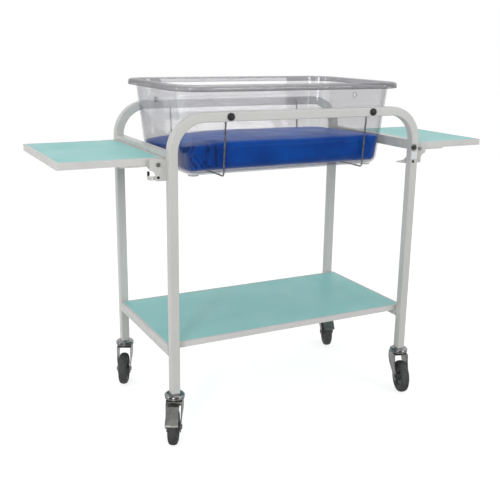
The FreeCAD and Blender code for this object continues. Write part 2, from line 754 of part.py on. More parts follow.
def release_lever(corner, side, end):
    label = "release_lever_" + corner
    nose = "hinge_z - stud_drop - stud_r - stud_gap"
    corners = [("tab_reach", "lever_z - tab_drop - tab_tall / 2"),
               ("tab_reach", "lever_z - tab_drop + tab_tall / 2"),
               ("lever_x - lever_half", "lever_z + tab_tall"),
               ("lever_x - lever_shoulder", "lever_z + lever_up - 1"),
               ("lever_x + lever_low", "lever_z + lever_up"), ("hinge_x - nose_half", nose),
               ("hinge_x + nose_half", nose), ("hinge_x + nose_half + 1", nose + " - nose_tall"),
               ("lever_x + lever_half", "lever_z - nose_tall"),
               ("lever_x - lever_half", "lever_z - lever_low")]
    points = [("%d * (%s)" % (side, x), z) for x, z in corners]
    owner = blank(label, points, "catch_thick",
                  rounds=[(3, "nose_half"), (7, "tab_tall"), (9, "nose_half")])
    drilled(owner, label, XZ, [("%d * lever_x" % side, "lever_z", "lever_pin_r + pin_play")])
    lay(owner, end, CATCH_IN, "catch_y")
    name_part(owner, label)
    x = "%d * lever_x" % side
    shank = across("lever_rivet_shank_" + corner, end, "lever_pin_r",
                   CATCH_IN + " - over", RAIL_FACE, x, "lever_z")
    head = across("lever_rivet_head_" + corner, end, "lever_pin_r + rivet_out",
                  RAIL_FACE, RAIL_FACE + " + rivet_out", x, "lever_z")
    flare = across("lever_rivet_flare_" + corner, end, "lever_pin_r + rivet_out",
                   CATCH_IN + " - over - pin_play", CATCH_IN + " - pin_play", x, "lever_z")
    rivet = fuse("lever_rivet_" + corner, [shank, head, flare])
    # the end rail's bolt with its wide washer, and the spring cover below it
    x = "%d * bolt_x" % side
    washer_out = RAIL_FACE + " + washer_thick"
    shank = across("rail_bolt_shank_" + corner, end, "bolt_r",
                   "leg_y - tube / 2 - bolt_end", washer_out, x, "bolt_z")
    head = across("rail_bolt_head_" + corner, end, "bolt_r + bolt_head_out",
                  washer_out, washer_out + " + bolt_head_tall", x, "bolt_z")
    bolt = fuse("rail_bolt_" + corner, [shank, head])
    disc = across("rail_washer_disc_" + corner, end, "washer_r", RAIL_FACE, washer_out, x, "bolt_z")
    hollow = across("rail_washer_bore_" + corner, end, "bolt_r + pin_play",
                    RAIL_FACE + " - over", washer_out + " + over", x, "bolt_z")
    washer = cut("rail_washer_" + corner, disc, [hollow])
    y_low = "mid_y - (%s) - cover_proud" % RAIL_FACE if end < 0 else "mid_y + " + RAIL_FACE
    cover = box("spring_cover_blank_" + corner, ("cover_wide", "cover_proud", "cover_tall"),
                ("%d * (bolt_x + cover_off) - cover_wide / 2" % side, y_low, "cover_z"))
    soft = doc.addObject("Part::Fillet", "spring_cover_" + corner)
    soft.Base = cover
    doc.recompute()
    outer_y = value("mid_y + %d * (%s + cover_proud)" % (end, RAIL_FACE))
    radius = value("cover_round")
    soft.Edges = [(i, radius, radius) for i, edge in enumerate(cover.Shape.Edges, start=1)
                  if all(abs(v.Y - outer_y) < 1e-6 for v in edge.Vertexes)]
    return rivet, bolt, washer, soft


rivets = [spring_catch("front_left", -1, -1), spring_catch("rear_right", 1, 1)]
bolts, washers, covers = [], [], []
for corner, side, end in (("front_right", 1, -1), ("rear_left", -1, 1)):
    rivet, bolt, washer, cover = release_lever(corner, side, end)
    rivets.append(rivet)
    bolts.append(bolt)
    washers.append(washer)
    covers.append(cover)
group("catch_rivets", rivets)
group("rail_bolts", bolts)
group("rail_washers", washers)
group("spring_covers", covers)


# Wire cradles: each end passes through the rail and carries a domed knob outside

def cradle(label, side):
    end = RAIL_FACE + " + knob_bore - wire_gap"

    def section(owner):
        sk = sketch(owner, label + "_section", XZ, end)
        circle(sk, 0, "rail_z", "wire_r")
        return sk

    half = [("-(%s)" % end, "rail_z"), ("-wire_top_y", "rail_z"), ("-wire_low_y", "wire_low_z")]
    route = half + [("wire_low_y", "wire_low_z"), ("wire_top_y", "rail_z"), (end, "rail_z")]
    owner = swept(label, YZ, route, ["wire_bend", "wire_turn", "wire_turn", "wire_bend"], section)
    at(owner, "%d * wire_x" % side, "mid_y", 0)
    return name_part(owner, label)


def knob(name, side, end):
    bore = "wire_r + pin_play"
    points = [(bore, 0), ("knob_r", 0), ("knob_r", "knob_tall * 0.35"),
              ("knob_r * 0.86", "knob_tall * 0.72"), ("knob_r * 0.5", "knob_tall"), (0, "knob_tall"),
              (0, "knob_bore"), (bore, "knob_bore")]
    owner = turned(name, points)
    owner.Placement.Rotation = FreeCAD.Rotation(V(1, 0, 0), 90 if end < 0 else -90)
    return at(owner, "%d * wire_x" % side, "mid_y + %d * (%s)" % (end, RAIL_FACE), "rail_z")


cradle("wire_cradle_left", -1)
cradle("wire_cradle_right", 1)
group("cradle_knobs", [knob("cradle_knob_" + corner, side, end)
                       for (side, end), corner in corner_names.items()])


# Tub: a tapered shell with a flanged rim, a turned-down lip and a hole in each end wall

def edges_at(shape, height):
    return ["Edge%d" % i for i, edge in enumerate(shape.Edges, start=1)
            if all(abs(v.Z - height) < 1e-6 for v in edge.Vertexes)]


def outer_edges(shape, height, half_wide):
    """The ring of edges at a height that reaches further than a distance across."""
    low, high = value(height) - 1e-6, value(height) + 1e-6
    rings = [wire for wire in shape.Wires if low < wire.BoundBox.ZMin <= wire.BoundBox.ZMax < high
             and wire.BoundBox.YMax > value(half_wide)]
    return sorted({"Edge%d" % i for i, edge in enumerate(shape.Edges, start=1)
                   for wire in rings for other in wire.Edges if edge.isSame(other)})


def loft(owner, name, kind, low, low_size, high, high_size):
    """A ruled loft between two round-cornered rectangles, each (length, width, corner radius)."""
    one = sketch(owner, name + "_low", XY, low)
    round_box(one, *low_size)
    two = sketch(owner, name + "_high", XY, high)
    round_box(two, *high_size)
    thing = owner.newObject("PartDesign::" + kind, name)
    thing.Profile = one
    thing.Sections = [two]
    thing.Ruled = True
    doc.recompute()
    return thing


def grown(size, by):
    """A round-cornered rectangle grown by a margin all round."""
    long, wide, corner = size
    return "%s + 2 * (%s)" % (long, by), "%s + 2 * (%s)" % (wide, by), "%s + (%s)" % (corner, by)


def make_tub():
    owner = body("tub")
    floor = ("tub_floor_long", "tub_floor_wide", "tub_floor_corner")
    mouth = ("tub_mouth_long", "tub_mouth_wide", "tub_mouth_corner")
    under_rim = "rim_z - rim_thick"
    block = loft(owner, "tub_block", "AdditiveLoft", "tub_floor_z", floor, under_rim, mouth)
    lean = "tub_wall * (tub_mouth_wide - tub_floor_wide) / 2 / (%s - tub_floor_z)" % under_rim
    cavity = loft(owner, "tub_cavity", "SubtractiveLoft",
                  "tub_floor_z + tub_wall", grown(floor, lean + " - tub_wall"),
                  under_rim, grown(mouth, "-tub_wall"))
    heel = soften(owner, "tub_heel", cavity, edges_at(cavity.Shape, value("tub_floor_z")), "tub_heel")
    doc.recompute()
    hollow = soften(owner, "tub_inner_heel", heel, edges_at(heel.Shape, value("tub_floor_z + tub_wall")),
                    "tub_heel - tub_wall")
    doc.recompute()
    assert hollow.Shape.Volume < block.Shape.Volume / 3, "the tub isn't hollow"
    edge = ("tub_mouth_long + 2 * rim_end_out", "tub_mouth_wide + 2 * rim_out",
            "tub_mouth_corner + rim_end_out")
    flange = sketch(owner, "tub_flange", XY, under_rim)
    round_box(flange, *edge)
    round_box(flange, *grown(mouth, "-tub_wall"))
    pad(owner, flange, "rim_thick")
    lip = sketch(owner, "tub_lip", XY, "rim_z - rim_lip")
    round_box(lip, *edge)
    round_box(lip, *grown(edge, "-rim_lip_thick"))
    rim = pad(owner, lip, "rim_lip - rim_thick")
    doc.recompute()
    ring = outer_edges(rim.Shape, "rim_z", "tub_mouth_wide / 2 + over")
    soften(owner, "tub_rim_roll", rim, ring, "rim_roll")
    feet = sketch(owner, "tub_feet", XY, "tub_floor_z + tub_wall / 2")
    for x in ("-foot_x", "foot_x"):
        for y in ("-foot_y", "foot_y"):
            circle(feet, x, y, "foot_r")
    pad(owner, feet, "foot_tall + tub_wall / 2", back=True)
    drilled(owner, "tub", YZ, [(0, "hole_z", "hole_r")])
    at(owner, "tub_x", "mid_y", 0)
    return name_part(owner, "tub")


def make_mattress():
    owner = body("mattress")
    low = "tub_floor_z + tub_wall + pad_gap"
    plan = sketch(owner, "mattress_plan", XY, low)
    round_box(plan, "pad_long", "pad_wide", "pad_corner")
    block = pad(owner, plan, "pad_tall")
    doc.recompute()
    edges = edges_at(block.Shape, value(low)) + edges_at(block.Shape, value(low + " + pad_tall"))
    soften(owner, "mattress_round", block, edges, "pad_round")
    at(owner, "tub_x", "mid_y", 0)
    return name_part(owner, "mattress")


make_tub()
make_mattress()


# Casters. Each is made about its stem, trailing along +X, and then turned to its swivel angle.

def caster_place(thing, side, end, swivel):
    """Puts a piece made about the stem under its leg, turned to the caster's swivel angle."""
    thing.setExpression("Placement.Rotation.Angle", full(swivel))
    return at(thing, "%d * leg_x" % side, "mid_y + %d * leg_y" % end, 0)


def stem_piece(name):
    """The stem with the upper race and the kingpin, headed below."""
    head_low = "race_z - king_low"
    head_top = head_low + " + king_head_tall"
    stem_top = "foot_z + plug_tall - stem_short"
    crown = "foot_z - rivet_gap"
    points = [(0, head_low), ("king_head", head_low), ("king_head", head_top), ("king_r", head_top),
              ("king_r", "race_z"), ("race_r - race_lip", "race_z"), ("race_r", "race_z + race_lip / 2"),
              ("race_r", "race_z + race_lip"), ("race_r - race_crown / 4", "race_z + 2 * race_lip"),
              ("race_r - race_crown * 0.6", crown + " - race_lip / 3"), ("race_r - race_crown", crown),
              ("stem_r", crown), ("stem_r", stem_top), (0, stem_top)]
    return turned(name, points)


def leg_plug(name):
    """The insert driven into the leg, with the stem's bore."""
    hollow = "tube - 2 * tube_wall - 2 * pin_play"
    owner = body(name)
    sk = sketch(owner, name + "_plan", XY, "foot_z")
    round_box(sk, hollow, hollow, "tube_corner - tube_wall")
    circle(sk, 0, 0, "stem_r + snug")
    pad(owner, sk, "plug_tall")
    return owner


def fork(name, brake):
    """A folded yoke: an arch trimmed to its side outline, with the lower race on its crown."""
    outer = [("fork_half", "fork_top"), ("fork_half", "fork_step"), ("fork_waist", "fork_waist_z"),
             ("fork_waist", "fork_low")]
    inner = [("fork_waist - fork_sheet", "fork_low"),
             ("fork_waist - fork_sheet", "fork_waist_z + fork_sheet / 2"),
             ("fork_half - fork_sheet", "fork_step + fork_sheet / 2"),
             ("fork_half - fork_sheet", "fork_top - fork_sheet")]
    one_leg = outer[::-1] + [("-(%s)" % y, z) for y, z in outer]
    arch = blank(name + "_arch", one_leg + [("-(%s)" % y, z) for y, z in inner] + inner[::-1], "3 * race_r",
                 midplane=True, role=YZ)
    side_points = [("2 - race_r", "fork_top"), ("2 - race_r", "fork_step + fork_eye"),
                   ("-fork_eye / 2", "fork_waist_z + 4"), ("trail - fork_eye", "fork_low + 10"),
                   ("trail - fork_eye / 2", "fork_low"), ("trail + fork_eye / 2", "fork_low"),
                   ("trail + fork_eye", "fork_low + 10"), ("race_r + 2", "fork_step + fork_eye"),
                   ("race_r - 1", "fork_top")]
    side_block = blank(name + "_side", side_points, "3 * fork_half", midplane=True,
                       rounds=[(0, 5), (1, "fork_eye"), (2, "fork_eye"), (8, 5)])
    low_race = [("king_r + 4", "fork_top"), ("race_r - 4", "fork_top"),
                ("race_r - 1", "fork_top + race_lip"), ("race_r - 1", "race_z - race_lip"),
                ("race_r - race_lip", "race_z - race_gap"), ("king_r + 4", "race_z - race_gap")]
    sheet_metal = common(name + "_sheet", arch, side_block)
    yoke = fuse(name + "_yoke", [sheet_metal, turned(name + "_race", low_race)])
    bores = [cylinder(name + "_king_bore", "king_r + pin_play", "race_r",
                      (0, 0, "fork_top - race_r / 2")),
             cylinder(name + "_axle_bore", "axle_r + snug", "3 * fork_half",
                      ("trail", "-1.5 * fork_half", "wheel_r"), "y")]
    if brake:
        bores.append(cylinder(name + "_pedal_bore", "pedal_pin_r + pin_play", "3 * fork_half",
                              ("pedal_pin_x", "-1.5 * fork_half", "pedal_pin_z"), "y"))
    return cut(name, yoke, bores)


def axle(name):
    """The axle bolt with its sleeve, head and nut."""
    shank = cylinder(name + "_shank", "axle_r", "2 * fork_waist + nut_tall",
                     ("trail", "-fork_waist - nut_tall / 2", "wheel_r"), "y")
    sleeve = cylinder(name + "_sleeve", "sleeve_r", "2 * (fork_waist - fork_sheet)",
                      ("trail", "fork_sheet - fork_waist", "wheel_r"), "y")
    head = cylinder(name + "_head", "nut_r", "nut_tall",
                    ("trail", "-fork_waist - nut_tall", "wheel_r"), "y")
    nut = cylinder(name + "_nut", "nut_r", "nut_tall", ("trail", "fork_waist", "wheel_r"), "y")
    return fuse(name, [shank, sleeve, head, nut])


def wheel_piece(name, points):
    """A ring turned about the axle; points are (radius, across)."""
    owner = turned(name, points)
    spun = doc.addObject("Part::Compound", name + "_spun")
    spun.Links = [owner]
    spun.Placement.Rotation = FreeCAD.Rotation(V(1, 0, 0), 90)
    return at(spun, "trail", 0, "wheel_r")


def mirrored_profile(half):
    """A closed section from its upper half, mirrored across the wheel's middle plane."""
    return half + [(radius, "-(%s)" % y) for radius, y in reversed(half)]


def hub_points():
    return mirrored_profile([("sleeve_r + sleeve_play", "hub_wide / 2"),
                             ("sleeve_r + hub_boss", "hub_wide / 2"),
                             ("sleeve_r + hub_boss + 3", "hub_web / 2"),
                             ("hub_r - hub_rim", "hub_web / 2"),
                             ("hub_r - hub_rim / 2", "wheel_wide / 2 - tyre_seat"),
                             ("hub_r", "wheel_wide / 2 - tyre_seat")])


def tyre_points():
    return mirrored_profile([("hub_r", "wheel_wide / 2 - tyre_seat"),
                             ("hub_r + 2", "wheel_wide / 2 - 1"),
                             ("wheel_r - 2.7 * tyre_round", "wheel_wide / 2"),
                             ("wheel_r - tyre_round", "wheel_wide / 2 - 2.6"),
                             ("wheel_r - tyre_round / 4", "wheel_wide / 2 - 2 * tyre_round"),
                             ("wheel_r", "wheel_wide / 2 - 3.5 * tyre_round")])


def pedal(name):
    """The brake pedal: pivot barrel, flat tread, ridge, sloping toe and the shoe above the wheel."""
    corners = [("-4", "-3"), ("-4", "4"), ("pedal_flat", "5"), ("pedal_ridge", "8"),
               ("pedal_ridge + 5", "4.4"),
               ("pedal_reach - 2", "6 - pedal_drop"), ("pedal_reach", "-pedal_drop"),
               ("pedal_reach - 2.4", "-pedal_drop - 0.4"), ("pedal_reach - 5", "5.6 - pedal_drop"),
               ("pedal_ridge + 3", "4.8 - pedal_thick"), ("pedal_flat", "5.2 - pedal_thick"),
               ("pedal_flat - 2", "-5.6"),
               ("12", "-5.4"), ("8", "-3")]
    points = [("pedal_pin_x + (%s)" % x, "pedal_pin_z + (%s)" % z) for x, z in corners]
    bar = blank(name + "_bar", points, "2 * pedal_toe", midplane=True, rounds=[(0, 2), (1, 2)])
    # seen from above, the plate widens towards the toe
    far = "pedal_pin_x + pedal_reach + over"
    corners = [("pedal_pin_x - 5", "-pedal_half"), (far, "-pedal_toe"), (far, "pedal_toe"),
               ("pedal_pin_x - 5", "pedal_half")]
    plan = blank(name + "_plan", corners, "2 * pedal_pin_z", role=XY)
    pin = cylinder(name + "_pin", "pedal_pin_r", "2 * fork_half",
                   ("pedal_pin_x", "-fork_half", "pedal_pin_z"), "y")
    return fuse(name, [common(name + "_plate", bar, plan), pin])


stems, plugs = [], []
for code, side, end, brake in (("front_left", -1, -1, True), ("front_right", 1, -1, False),
                               ("rear_left", -1, 1, False), ("rear_right", 1, 1, True)):
    swivel = "swivel_" + code[0] + code[code.index("_") + 1]
    makers = {"fork_": lambda name: fork(name, brake), "axle_": axle,
              "hub_": lambda name: wheel_piece(name, hub_points()),
              "tyre_": lambda name: wheel_piece(name, tyre_points())}
    if brake:
        makers["brake_pedal_"] = pedal
    for stem_word, maker in makers.items():
        local = maker(stem_word + code + "_local")
        placed = doc.addObject("Part::Compound", stem_word + code)
        placed.Links = [local]
        name_part(caster_place(placed, side, end, swivel), stem_word + code)
    stems.append(at(stem_piece("stem_" + code), "%d * leg_x" % side, "mid_y + %d * leg_y" % end, 0))
    plugs.append(at(leg_plug("plug_" + code), "%d * leg_x" % side, "mid_y + %d * leg_y" % end, 0))
group("caster_stems", stems)
group("leg_plugs", plugs)


# Check every object, then write one file for each sub-part

doc.recompute()
failed = [o.Name for o in doc.Objects if "Invalid" in o.State or "Error" in o.State]
assert not failed, failed
labels = [o.Label for o in sub_parts]
assert len(set(labels)) == len(labels) <= 60, (len(labels), labels)
os.makedirs("parts", exist_ok=True)
for thing in sub_parts:
    shape = thing.Shape
    assert not shape.isNull() and shape.isValid() and shape.Volume > 0, thing.Label
    shape.exportStep("parts/%s.step" % thing.Label)
print(len(sub_parts), "sub-parts")
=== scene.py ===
import math

import bpy
from mathutils import Matrix, Vector, noise


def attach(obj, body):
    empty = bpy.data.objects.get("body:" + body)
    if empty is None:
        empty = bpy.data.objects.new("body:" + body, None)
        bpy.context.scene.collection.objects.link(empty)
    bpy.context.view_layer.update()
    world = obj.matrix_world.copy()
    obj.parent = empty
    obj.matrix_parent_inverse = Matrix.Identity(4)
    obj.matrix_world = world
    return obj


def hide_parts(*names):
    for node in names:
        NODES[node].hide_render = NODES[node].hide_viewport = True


# The looks of the hospital crib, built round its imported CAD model.
# Metres, in the CAD model's frame: X the length, Y the depth, Z up.

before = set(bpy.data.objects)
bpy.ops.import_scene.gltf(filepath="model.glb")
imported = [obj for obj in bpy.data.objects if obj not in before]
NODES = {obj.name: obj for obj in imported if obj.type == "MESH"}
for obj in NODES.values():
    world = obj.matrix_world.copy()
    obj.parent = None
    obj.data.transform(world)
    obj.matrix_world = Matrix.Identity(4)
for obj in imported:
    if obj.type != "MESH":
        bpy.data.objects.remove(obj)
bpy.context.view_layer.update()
scene = bpy.context.scene
scene.view_settings.view_transform = "Standard"

MID_Y = 0.0284           # middle plane of the frame, as in the CAD source
TUB_X = -0.0127          # the tub's middle along the frame
TUB_FLOOR = 0.7238       # underside of the tub's floor
TUB_WALL = 0.004

# Camera at the photograph's place: found by fitting the frame's straight members

CAMERA_AT = Vector((-1.0989, -2.0305 + MID_Y, 1.0723))
YAW, PITCH, ROLL = 0.4789, 0.26546, 0.01455
LENS = 55.336


def add_camera():
    ahead = Vector((math.sin(YAW) * math.cos(PITCH), math.cos(YAW) * math.cos(PITCH), -math.sin(PITCH)))
    flat_right = Vector((math.cos(YAW), -math.sin(YAW), 0))
    flat_up = flat_right.cross(ahead)
    right = math.cos(ROLL) * flat_right + math.sin(ROLL) * flat_up
    up = math.cos(ROLL) * flat_up - math.sin(ROLL) * flat_right
    data = bpy.data.cameras.new("camera")
    data.lens = LENS
    data.sensor_width = 36
    data.clip_end = 50
    camera = bpy.data.objects.new("camera", data)
    turn = Matrix((right, up, -ahead)).transposed().to_4x4()
    camera.matrix_world = Matrix.Translation(CAMERA_AT) @ turn
    scene.collection.objects.link(camera)
    scene.camera = camera


add_camera()


# Node helpers

def srgb(r, g, b):
    """A linear colour from 0-255 display values."""
    shares = (r / 255, g / 255, b / 255)
    return tuple(v / 12.92 if v <= 0.04045 else ((v + 0.055) / 1.055) ** 2.4 for v in shares) + (1,)


class Nodes:
    """Short calls for building a node tree."""

    def __init__(self, tree):
        self.tree = tree
        tree.nodes.clear()

    def add(self, kind, **settings):
        node = self.tree.nodes.new("ShaderNode" + kind)
        for key, item in settings.items():
            if hasattr(node, key):
                setattr(node, key, item)
            else:
                node.inputs[key.replace("_", " ")].default_value = item
        return node

    def link(self, out, into):
        self.tree.links.new(out, into)

    def noise(self, scale, detail=3, roughness=0.5, stretch=None):
        coords = self.add("TexCoord").outputs["Object"]
        if stretch:
            mapping = self.add("Mapping")
            mapping.inputs["Scale"].default_value = stretch
            self.link(coords, mapping.inputs["Vector"])
            coords = mapping.outputs["Vector"]
        tex = self.add("TexNoise", Scale=scale, Detail=detail, Roughness=roughness)
        self.link(coords, tex.inputs["Vector"])
        return tex.outputs["Fac"]

    def voronoi(self, scale):
        coords = self.add("TexCoord").outputs["Object"]
        tex = self.add("TexVoronoi", Scale=scale)
        self.link(coords, tex.inputs["Vector"])
        return tex.outputs["Color"]

    def math(self, kind, a, b=None):
        node = self.add("Math", operation=kind)
        for i, item in enumerate((a, b)):
            if item is None:
                continue
            if isinstance(item, (int, float)):
                node.inputs[i].default_value = item
            else:
                self.link(item, node.inputs[i])
        return node.outputs[0]

    def ramp(self, fac, *stops):
        """A colour ramp from (position, colour) stops."""
        node = self.add("ValToRGB")
        elements = node.color_ramp.elements
        while len(elements) < len(stops):
            elements.new(0.5)
        for element, (position, colour) in zip(elements, stops):
            element.position = position
            element.color = colour if len(colour) == 4 else (*colour, 1)
        self.link(fac, node.inputs["Fac"])
        return node.outputs["Color"]

    def grey(self, fac, low, high, start=0.3, end=0.7):
        """Goes from low to high while fac goes from start to end."""
        node = self.add("MapRange")
        for name, item in (("From Min", start), ("From Max", end), ("To Min", low), ("To Max", high)):
            node.inputs[name].default_value = item
        self.link(fac, node.inputs["Value"])
        return node.outputs["Result"]

    def mix(self, fac, one, two):
        node = self.add("Mix", data_type="RGBA")
        for socket, item in (("Factor_Float", fac), ("A_Color", one), ("B_Color", two)):
            target = next(s for s in node.inputs if s.identifier == socket)
            if hasattr(item, "links"):
                self.link(item, target)
            else:
                target.default_value = item
        return next(s for s in node.outputs if s.identifier == "Result_Color")

    def bump(self, height, strength, distance, normal=None):
        node = self.add("Bump", Strength=strength, Distance=distance)
        self.link(height, node.inputs["Height"])
        if normal:
            self.link(normal, node.inputs["Normal"])
        return node.outputs["Normal"]

    def output(self, shader):
        out = self.add("OutputMaterial")
        self.link(shader, out.inputs["Surface"])


def material(name):
    mat = bpy.data.materials.new(name)
    mat.use_nodes = True
    return mat, Nodes(mat.node_tree)


def principled(n, colour=None, rough=None, normal=None, **sockets):
    node = n.add("BsdfPrincipled")
    for key, item in sockets.items():
        node.inputs[key.replace("_", " ")].default_value = item
    for socket, item in (("Base Color", colour), ("Roughness", rough), ("Normal", normal)):
        if item is None:
            continue
        if hasattr(item, "links"):
            n.link(item, node.inputs[socket])
        else:
            node.inputs[socket].default_value = item
    n.output(node.outputs["BSDF"])


def edge_wear(n):
    """White on convex edges only, broken up by noise."""
    pointy = n.add("NewGeometry").outputs["Pointiness"]
    edge = n.grey(pointy, 0, 1, 0.52, 0.62)
    return n.math("MULTIPLY", edge, n.grey(n.noise(60, 4), 0, 1, 0.45, 0.62))


def paint(name="powder_coat", colour=(206, 206, 203)):
    """Powder coat: orange peel, slight mottling, rubbed edges."""
    mat, n = material(name)
    base = n.mix(n.grey(n.noise(5, 3), 0, 1), srgb(*colour), srgb(*(c - 6 for c in colour)))
    base = n.mix(n.math("MULTIPLY", edge_wear(n), 0.35), base, srgb(150, 149, 146))
    rough = n.grey(n.noise(30, 4), 0.3, 0.42)
    normal = n.bump(n.noise(900, 2), 0.12, 0.0004)
    principled(n, base, rough, normal, Coat_Weight=0.25, Coat_Roughness=0.2)
    return mat


def laminate():
    """Mint green laminate with a fine pore texture."""
    mat, n = material("mint_laminate")
    fleck = n.grey(n.noise(1400, 2, 0.7), 0, 1, 0.42, 0.6)
    cloud = n.grey(n.noise(3, 3), 0, 1)
    base = n.mix(fleck, srgb(151, 218, 214), srgb(143, 211, 207))
    base = n.mix(n.math("MULTIPLY", cloud, 0.35), base, srgb(140, 208, 204))
    normal = n.bump(n.noise(1800, 3, 0.7), 0.15, 0.0002)
    principled(n, base, n.grey(n.noise(12, 4), 0.36, 0.5), normal)
    return mat


def edging():
    """Off-white edging with a fine drawn grain along it."""
    mat, n = material("white_edging")
    base = n.mix(n.grey(n.noise(9, 3), 0, 1), srgb(214, 213, 211), srgb(206, 205, 203))
    normal = n.bump(n.noise(700, 3), 0.15, 0.0002)
    principled(n, base, n.grey(n.noise(40, 3), 0.34, 0.46), normal)
    return mat


def zinc(name="bright_zinc", shine=(0.28, 0.42), colour=(172, 172, 170), dark=(140, 140, 138)):
    """Zinc plate: cloudy colour, faint spangle and handling marks."""
    mat, n = material(name)
    cloud = n.grey(n.noise(35, 5, 0.6), 0, 1, 0.35, 0.65)
    base = n.mix(cloud, srgb(*colour), srgb(*dark))
    base = n.mix(n.math("MULTIPLY", n.voronoi(420), 0.12), base, srgb(205, 205, 202))
    normal = n.bump(n.noise(500, 3), 0.1, 0.0003)
    principled(n, base, n.grey(n.noise(90, 4), *shine), normal, Metallic=1)
    return mat


def wire_steel():
    """Drawn wire, satin."""
    mat, n = material("drawn_wire")
    base = n.mix(n.grey(n.noise(80, 4), 0, 1), srgb(166, 166, 167), srgb(124, 124, 125))
    normal = n.bump(n.noise(1200, 2, 0.5, (1, 1, 0.08)), 0.2, 0.0002)
    principled(n, base, n.grey(n.noise(200, 3), 0.24, 0.4), normal, Metallic=1)
    return mat


def black_plastic():
    mat, n = material("black_plastic")
    base = n.mix(n.grey(n.noise(150, 3), 0, 1), srgb(26, 26, 27), srgb(40, 40, 41))
    normal = n.bump(n.noise(900, 3), 0.2, 0.0003)
    principled(n, base, n.grey(n.noise(60, 3), 0.3, 0.45), normal)
    return mat


def rubber():
    """Grey rubber tread: dusty in patches, with fine scuffs round the wheel, and painted shade where the tread
    is seen edge-on.
    """
    mat, n = material("grey_rubber")
    dust = n.grey(n.noise(45, 5, 0.65), 0, 1, 0.4, 0.7)
    base = n.mix(dust, srgb(58, 58, 59), srgb(80, 80, 80))
    # painted shade: the tread darkens towards its sides where it is seen edge-on
    facing = n.add("LayerWeight", Blend=0.5).outputs["Facing"]
    base = n.mix(n.grey(facing, 0, 1, 0.15, 0.7), base, srgb(34, 34, 35))
    normal = n.bump(n.noise(700, 4, 0.7), 0.35, 0.0004)
    principled(n, base, n.grey(n.noise(120, 3), 0.5, 0.72), normal)
    return mat


def grey_plastic():
    mat, n = material("hub_plastic")
    base = n.mix(n.grey(n.noise(60, 4), 0, 1), srgb(52, 52, 53), srgb(70, 70, 70))
    normal = n.bump(n.noise(800, 3), 0.25, 0.0003)
    principled(n, base, n.grey(n.noise(70, 3), 0.42, 0.55), normal)
    return mat


RIM_HALF = (0.35575, 0.228)   # the rim's outer edge
RIM_CORNER = 0.079
RIM_TOP, LIP_LOW = 0.963, 0.947
HOLE_Z, HOLE_R = 0.914, 0.007
# how dark the painted shade lines get on the lip, the rim's top and the foot
LIP_DARK, TOP_DARK, FOOT_DARK = 0.42, 0.5, 0.45


def painted_rim_shade(n):
    """Painted shade where thick clear plastic looks dark by refraction: 1 at the lip's lower edge and in the end
    holes, less elsewhere.
    """
    coords = n.add("TexCoord").outputs["Object"]
    middle = n.add("VectorMath", operation="SUBTRACT")
    middle.inputs[1].default_value = (TUB_X, MID_Y, 0)
    n.link(coords, middle.inputs[0])
    size = n.add("VectorMath", operation="ABSOLUTE")
    n.link(middle.outputs[0], size.inputs[0])
    past = n.add("VectorMath", operation="SUBTRACT")
    past.inputs[1].default_value = (RIM_HALF[0] - RIM_CORNER, RIM_HALF[1] - RIM_CORNER, 9)
    n.link(size.outputs[0], past.inputs[0])
    beyond = n.add("VectorMath", operation="MAXIMUM")
    beyond.inputs[1].default_value = (0, 0, 0)
    n.link(past.outputs[0], beyond.inputs[0])
    reach = n.add("VectorMath", operation="LENGTH")
    n.link(beyond.outputs[0], reach.inputs[0])
    split = n.add("SeparateXYZ")
    n.link(coords, split.inputs[0])
    height = split.outputs["Z"]
    on_lip = n.grey(reach.outputs["Value"], 0, 1, RIM_CORNER - 0.006, RIM_CORNER - 0.0045)
    low = n.math("MULTIPLY", on_lip, n.grey(height, 1, 0, LIP_LOW + 0.0015, LIP_LOW + 0.0035))
    top = n.grey(height, 0, TOP_DARK, RIM_TOP - 0.003, RIM_TOP - 0.0015)
    foot = n.grey(height, FOOT_DARK, 0, TUB_FLOOR - 0.002, TUB_FLOOR - 0.0005)
    from_hole = n.add("VectorMath", operation="SUBTRACT")
    from_hole.inputs[1].default_value = (0, MID_Y, HOLE_Z)
    n.link(coords, from_hole.inputs[0])
    across = n.add("VectorMath", operation="MULTIPLY")
    across.inputs[1].default_value = (0, 1, 1)
    n.link(from_hole.outputs[0], across.inputs[0])
    span = n.add("VectorMath", operation="LENGTH")
    n.link(across.outputs[0], span.inputs[0])
    hole = n.grey(span.outputs["Value"], 1, 0, HOLE_R + 0.0004, HOLE_R + 0.0012)
    shade_lines = n.math("MAXIMUM", n.math("MAXIMUM", low, top), foot)
    return n.math("MAXIMUM", n.math("MAXIMUM", shade_lines, hole), n.math("MULTIPLY", on_lip, LIP_DARK))


